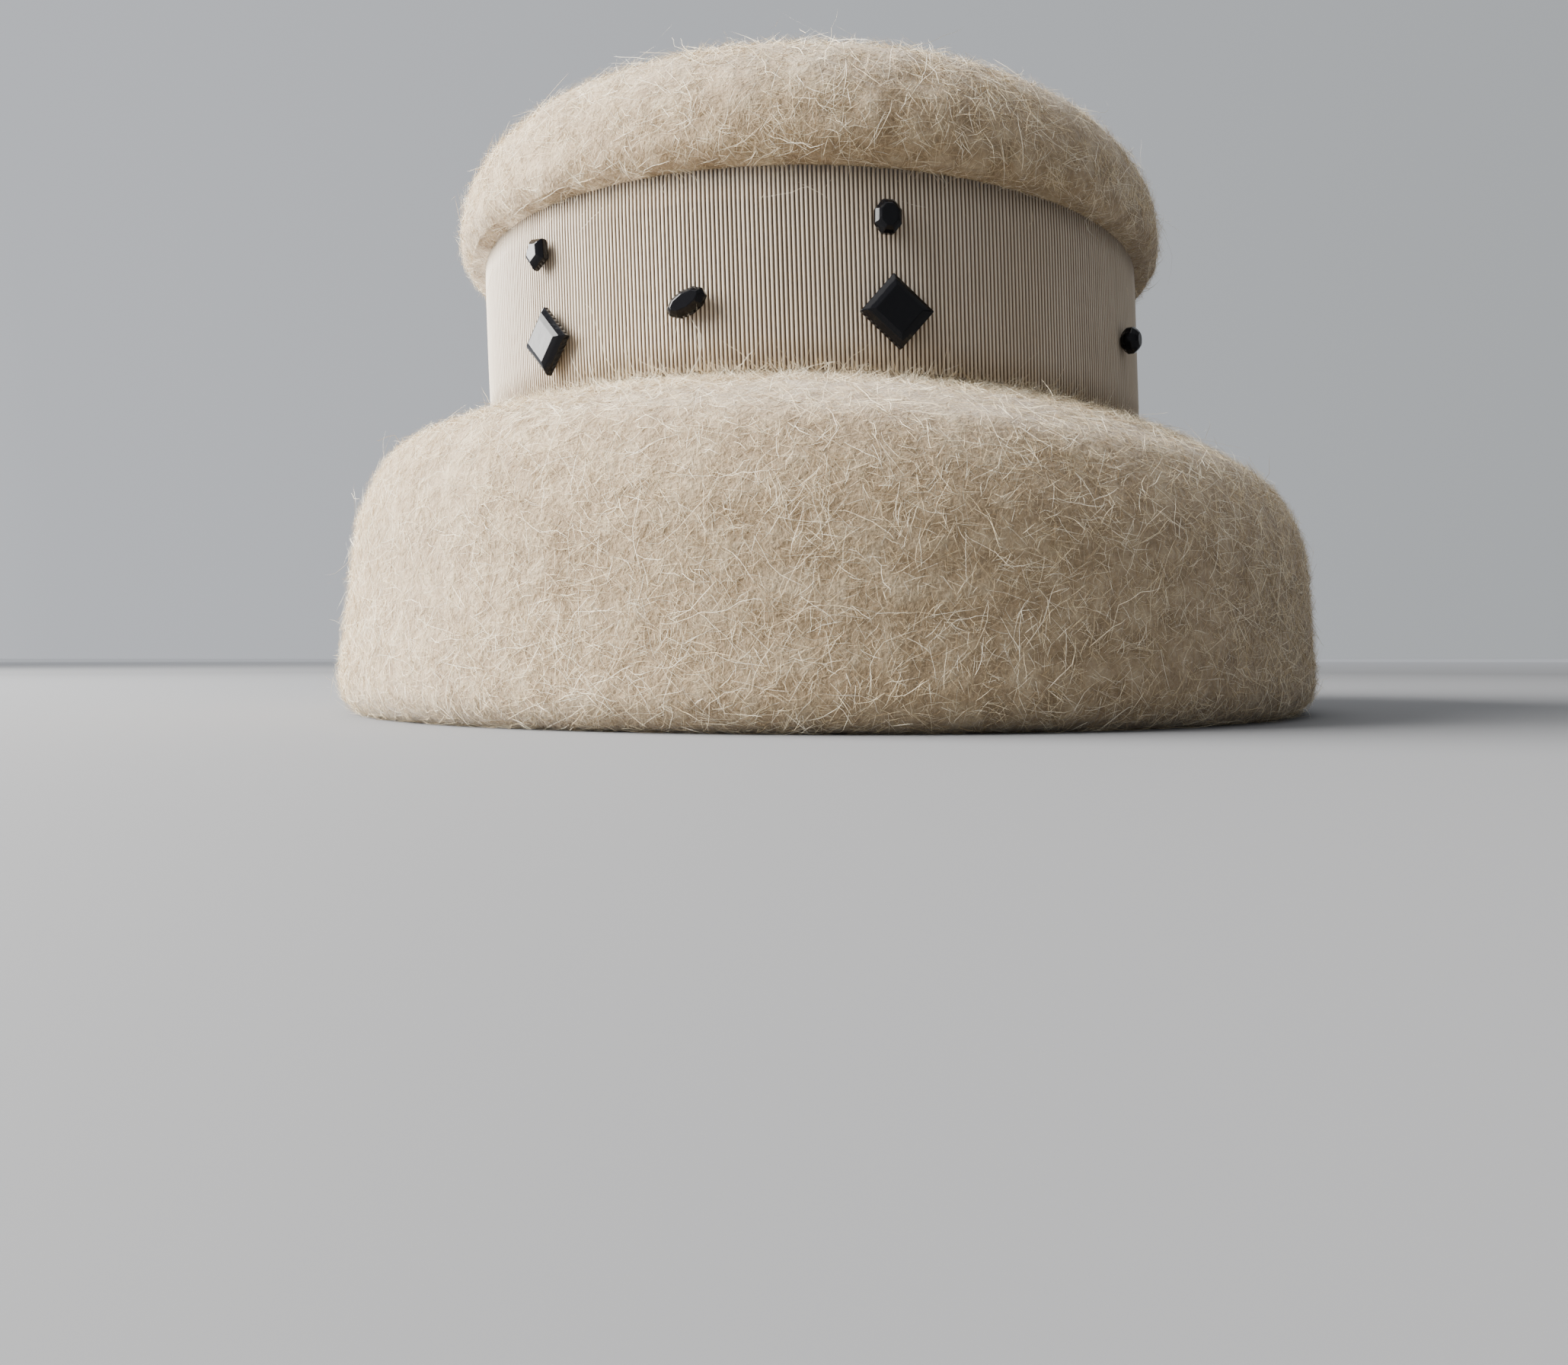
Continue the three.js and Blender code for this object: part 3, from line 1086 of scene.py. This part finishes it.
@dataclass
class RibbonBand:
    """The grosgrain ribbon: upright rounded ribs between two narrow selvedges.

    Attributes:
        plan: the hat's sizes.
        ribs: number of ribs round the band.
        rib_steps: steps across each rib.
        rib_depth: depth of the grooves.
        rows: section points up the band's face.
        own_share: how much single ribs differ in depth.
        rib_stride: stride from rib to rib through the noise that they differ by.
        edge_share: how far the selvedges are sunk, as a share of the grooves' depth.
        wave_length: wavelength of the face's slow waves.
        wave_depth: depth of those waves.
        back_rib_shade: the rib value given to the band's edges and back, from 0 to 1, which paints
            them with the grooves' painted shade.
    """

    plan: HatPlan
    ribs: int = 590
    rib_steps: int = 6
    rib_depth: float = 0.5
    rows: int = 7
    own_share: float = 0.35
    rib_stride: float = 0.73
    edge_share: float = 0.35
    wave_length: float = 22.0
    wave_depth: float = 0.12
    back_rib_shade: float = 0.3

    def build(self, material: bpy.types.Material) -> None:
        """Builds the ribbed ring.

        Args:
            material: the ribbon's finish.
        """
        plan = self.plan
        inner = plan.head_half_width + plan.clearance
        low, high = plan.band_low, plan.band_high
        outer = np.linspace([plan.band_face, low], [plan.band_face, high], self.rows)
        section = np.concatenate([[[inner, low]], outer, [[inner, high]]])
        sides = self.ribs * self.rib_steps
        mesh, rings, angles = Sweep(plan, section, sides).build(many_sides=True)
        crest = mesh.verts.layers.float.new("rib")
        swell = [math.sqrt(max(0.0, 1.0 - (2.0 * step / self.rib_steps - 1.0) ** 2))
                 for step in range(self.rib_steps)]
        columns = np.rint(angles / (2 * math.pi) * self.ribs * self.rib_steps).astype(int)
        for vertex in mesh.verts:
            ring = rings[vertex.index]
            if not 1 <= ring <= self.rows:
                # The edges and back get the grooves' painted shade
                vertex[crest] = self.back_rib_shade
                continue
            angle = angles[vertex.index]
            rib, step = divmod(int(columns[vertex.index]) % sides, self.rib_steps)
            full = swell[step]
            own = 1.0 + self.own_share * noise.noise(Vector((rib * self.rib_stride, 0.5, 0.5)))
            edge = self.edge_share if ring in (1, self.rows) else 0.0
            drop = (1.0 - full) * self.rib_depth * own + edge * self.rib_depth
            wave = noise.noise(vertex.co / (self.wave_length * MM)) * self.wave_depth
            outward = Vector((math.sin(angle), -math.cos(angle), 0.0))
            vertex.co -= outward * (drop - wave) * MM
            vertex[crest] = full
        finish_piece(mesh, "grosgrain_ribs", [material], "ribbon_band")


@dataclass(frozen=True)
class BeadForm:
    """A cut bead: its girdle, its thickness, its corners and how far its table is set in."""

    width: float
    length: float
    thickness: float
    sides: int
    inset: float


@dataclass(frozen=True)
class BeadSeat:
    """Where a bead is sewn: its angle from the front, its height on the band and its turn."""

    name: str
    cut: Cut
    angle: float
    up: float
    turn: float


@dataclass
class Beads:
    """The six jet beads on the band.

    Attributes:
        plan: the hat's sizes.
        forms: each cut's form: width, length, thickness, sides and inset.
        seats: each bead's name, cut, angle, height and turn.
        slope: the crown facets' height, as a share of the thickness.
        facet_shares: shares of the slope in the lower and the upper row of facets.
        crease: least angle of an edge that is bevelled, in radians.
        edge: width of those bevels.
    """

    plan: HatPlan
    forms: dict[Cut, BeadForm] = field(default_factory=lambda: {
        Cut.SQUARE: BeadForm(11.5, 10.7, 4.0, 4, 2.0),
        Cut.PENTAGON: BeadForm(7.8, 7.8, 3.6, 5, 1.4),
        Cut.OVAL: BeadForm(9.0, 5.2, 3.8, 10, 1.2),
        Cut.CUSHION: BeadForm(5.8, 7.0, 3.8, 8, 1.2),
        Cut.ROUND: BeadForm(6.2, 6.2, 4.4, 10, 1.5),
    })
    seats: tuple[BeadSeat, ...] = (
        BeadSeat("bead_pentagon", Cut.PENTAGON, -43.2, 0.74, 8),
        BeadSeat("bead_square_side", Cut.SQUARE, -41.4, 0.25, 137),
        BeadSeat("bead_oval", Cut.OVAL, -17.2, 0.33, 25),
        BeadSeat("bead_cushion", Cut.CUSHION, 9.6, 0.74, 0),
        BeadSeat("bead_square_front", Cut.SQUARE, 10.4, 0.28, -41),
        BeadSeat("bead_round", Cut.ROUND, 56.5, 0.42, 0),
    )
    slope: float = 0.35
    facet_shares: Row = (0.6, 0.4)
    crease: float = 0.12
    edge: float = 0.14

    def build(self, material: bpy.types.Material) -> None:
        """Cuts, seats and finishes each bead.

        Args:
            material: the beads' finish.
        """
        for seat in self.seats:
            mesh = self.cut(self.forms[seat.cut])
            bmesh.ops.transform(mesh, matrix=self.seating(seat), verts=mesh.verts[:])
            bmesh.ops.recalc_face_normals(mesh, faces=mesh.faces[:])
            finish_piece(mesh, "jet_" + seat.name, [material], seat.name, smooth=False)

    def cut(self, form: BeadForm) -> bmesh.types.BMesh:
        """Cuts a bead from a flat outline: girdle, crown facets, table and back.

        Args:
            form: the bead's sizes.

        Returns:
            The cut bead, lying with its back at the origin and its table up.
        """
        even = form.sides % 2 == 0
        half = math.pi / form.sides
        reach = 1.0 / math.cos(half) if even else 1.0
        slope = form.thickness * self.slope
        mesh = bmesh.new()
        turn = Matrix.Rotation(math.pi / 2 + (half if even else 0.0), 4, "Z")
        bmesh.ops.create_circle(mesh, cap_ends=True, segments=form.sides, radius=1.0, matrix=turn)
        size = Vector((form.width * reach / 2, form.length * reach / 2, 1.0)) * MM
        bmesh.ops.scale(mesh, vec=(size.x, size.y, 1.0), verts=mesh.verts[:])
        bmesh.ops.translate(mesh, vec=(0, 0, slope * MM), verts=mesh.verts[:])
        base = mesh.faces[:]
        raised = bmesh.ops.extrude_face_region(mesh, geom=base, use_keep_orig=True)["geom"]
        top = [item for item in raised if isinstance(item, bmesh.types.BMFace)]
        depth = (form.thickness - 2 * slope) * MM
        bmesh.ops.translate(mesh, vec=(0, 0, depth),
                            verts=[v for v in raised if isinstance(v, bmesh.types.BMVert)])
        bmesh.ops.recalc_face_normals(mesh, faces=mesh.faces[:])
        step = form.inset / 2
        for faces, rise in ((top, slope), (base, -slope)):
            for share in self.facet_shares:
                bmesh.ops.inset_region(mesh, faces=faces, thickness=step * MM, depth=0.0,
                                       use_even_offset=True)
                corners = {vertex for face in faces for vertex in face.verts}
                bmesh.ops.translate(mesh, vec=(0, 0, rise * share * MM), verts=list(corners))
        sharp = [edge for edge in mesh.edges
                 if len(edge.link_faces) == 2 and edge.calc_face_angle(0.0) > self.crease]
        bmesh.ops.bevel(mesh, geom=sharp, offset=self.edge * MM, offset_type="OFFSET", segments=2,
                        profile=0.5, affect="EDGES", material=-1, clamp_overlap=True)
        return mesh

    def seating(self, seat: BeadSeat) -> Matrix:
        """Lays a bead's back on the band, turned as it is sewn.

        Args:
            seat: where the bead is sewn.

        Returns:
            The transform from the bead's own place to the band.
        """
        plan = self.plan
        around = math.radians(seat.angle)
        height = plan.band_low + seat.up * plan.band_width
        radius = plan.band_face + plan.clearance
        place = plan.place(np.array(around), np.array(radius), np.array(height))
        length = plan.head_half_width + plan.extra_length
        outward = Vector((math.sin(around) / plan.head_half_width, -math.cos(around) / length, 0.0))
        outward.normalize()
        upright = Vector((0.0, 0.0, 1.0))
        across = upright.cross(outward)
        basis = Matrix((across, upright, outward)).transposed().to_4x4()
        return Matrix.Translation(Vector(place)) @ basis @ Matrix.Rotation(
            math.radians(seat.turn), 4, "Z")


# The studio


@dataclass
class Studio:
    """The floor, the soft light from the side of -X, and the camera."""

    lens: float = 29.67
    camera_place: Row = (-6.7, -371.0, 14.0)
    pitch: float = -1.08
    yaw: float = 0.64
    # Metres above the floor that the lamps are aimed at
    aim_height: float = 0.08
    # Metres from the middle to the floor's edge, and those that its colours run between
    floor_reach: float = 30.0
    floor_fade: tuple[float, float] = (1.0, 6.0)
    # Shares of the way from -X to +X, and the room's light there
    room: Stops = (
        (0.0, (1.05, 1.06, 1.08, 1.0)), (0.25, (0.60, 0.62, 0.66, 1.0)),
        (0.5, (0.53, 0.55, 0.58, 1.0)), (0.75, (0.46, 0.48, 0.50, 1.0)),
        (1.0, (0.13, 0.125, 0.12, 1.0)),
    )
    # Shares of the fade, and the floor's colour there: darker near the hat and paler far off, a
    # painted light where the lamps don't reach
    floor_painted_light: Stops = (
        (0.0, (0.17, 0.172, 0.178, 1.0)), (0.35, (0.5, 0.505, 0.52, 1.0)),
        (1.0, (0.92, 0.92, 0.93, 1.0)),
    )

    def build(self) -> None:
        """Builds the floor, the lights and the camera."""
        self.lay_floor()
        self.light("window", place=(-1.3, -0.13, 0.75), size=1.3, power=180.0,
                   colour=(1.0, 0.985, 0.955))
        self.light("ceiling", place=(-0.25, -0.1, 1.9), size=1.6, power=16.0,
                   colour=(1.0, 0.985, 0.96))
        self.light_room()
        self.place_camera()

    def light_room(self) -> None:
        """Surrounds the hat with the room's grey, paler on the window's side."""
        world = bpy.data.worlds.new("soft_grey")
        world.use_nodes = True
        nodes, links = world.node_tree.nodes, world.node_tree.links
        split = nodes.new("ShaderNodeSeparateXYZ")
        across = nodes.new("ShaderNodeMapRange")
        across.inputs["From Min"].default_value = -1.0
        shade = nodes.new("ShaderNodeValToRGB")
        colour_ramp(shade, self.room)
        links.new(nodes.new("ShaderNodeTexCoord").outputs["Generated"], split.inputs["Vector"])
        links.new(split.outputs["X"], across.inputs["Value"])
        links.new(across.outputs["Result"], shade.inputs["Fac"])
        links.new(shade.outputs["Color"], nodes["Background"].inputs["Color"])
        bpy.context.scene.world = world

    def place_camera(self) -> None:
        """Places the camera in front of the hat and a little above the floor."""
        data = bpy.data.cameras.new("camera")
        data.sensor_width = 36.0
        data.lens = self.lens
        data.clip_start = 0.01
        camera = bpy.data.objects.new("camera", data)
        camera.location = Vector(self.camera_place) * MM
        camera.rotation_euler = (math.radians(90 + self.pitch), 0.0, math.radians(self.yaw))
        bpy.context.scene.collection.objects.link(camera)
        bpy.context.scene.camera = camera

    def lay_floor(self) -> None:
        """Lays the plain floor, whose colour grows paler far off as painted light where the lamps
        don't reach.
        """
        shader = Shader("studio_floor")
        # Painted light: the floor's colour pales with distance from the middle
        away = shader.node("ShaderNodeVectorMath", operation="LENGTH")
        shader.join(shader.place, away.inputs[0])
        share = shader.node("ShaderNodeMapRange")
        share.inputs["From Min"].default_value = self.floor_fade[0]
        share.inputs["From Max"].default_value = self.floor_fade[1]
        shader.join(away.outputs["Value"], share.inputs["Value"])
        shader.join(shader.ramp(share.outputs["Result"], self.floor_painted_light),
                    shader.surface.inputs["Base Color"])
        shader.set(Roughness=0.8, Specular_IOR_Level=0.2)
        mesh = bmesh.new()
        bmesh.ops.create_grid(mesh, x_segments=1, y_segments=1, size=self.floor_reach)
        data = bpy.data.meshes.new("floor")
        mesh.to_mesh(data)
        mesh.free()
        data.materials.append(shader.material)
        floor = bpy.data.objects.new("floor", data)
        bpy.context.scene.collection.objects.link(floor)

    def light(self, name: str, place: Row, size: float, power: float,
              colour: tuple[float, float, float]) -> None:
        """Hangs a square softbox that faces the hat.

        Args:
            name: the light's name.
            place: its centre in metres.
            size: its side in metres.
            power: its power in watts.
            colour: its colour.
        """
        data = bpy.data.lights.new(name, "AREA")
        data.size = size
        data.energy = power
        data.color = colour
        lamp = bpy.data.objects.new(name, data)
        lamp.location = place
        aim = Vector((0.0, 0.0, self.aim_height)) - Vector(place)
        lamp.rotation_euler = aim.to_track_quat("-Z", "Y").to_euler()
        bpy.context.scene.collection.objects.link(lamp)


def main() -> None:
    """Builds the hat in order over its CAD frame."""
    logging.basicConfig(level=logging.INFO, format="%(relativeCreated)6d ms %(message)s")
    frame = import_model()
    LOG.info("frame with %d nodes", len(frame["nodes"]))
    plan = HatPlan()
    wool = WoolFelt().material()
    hem = SmoothFelt().material()
    fibre = FibreFinish().material()
    FeltCrown(plan).build(wool, hem, fibre)
    FeltBrim(plan).build(wool, hem, fibre)
    HemWelt(plan).build(hem)
    RibbonBand(plan).build(Grosgrain().material())
    Beads(plan).build(JetGlass().material())
    Studio().build()


if __name__ == "__main__":
    main()
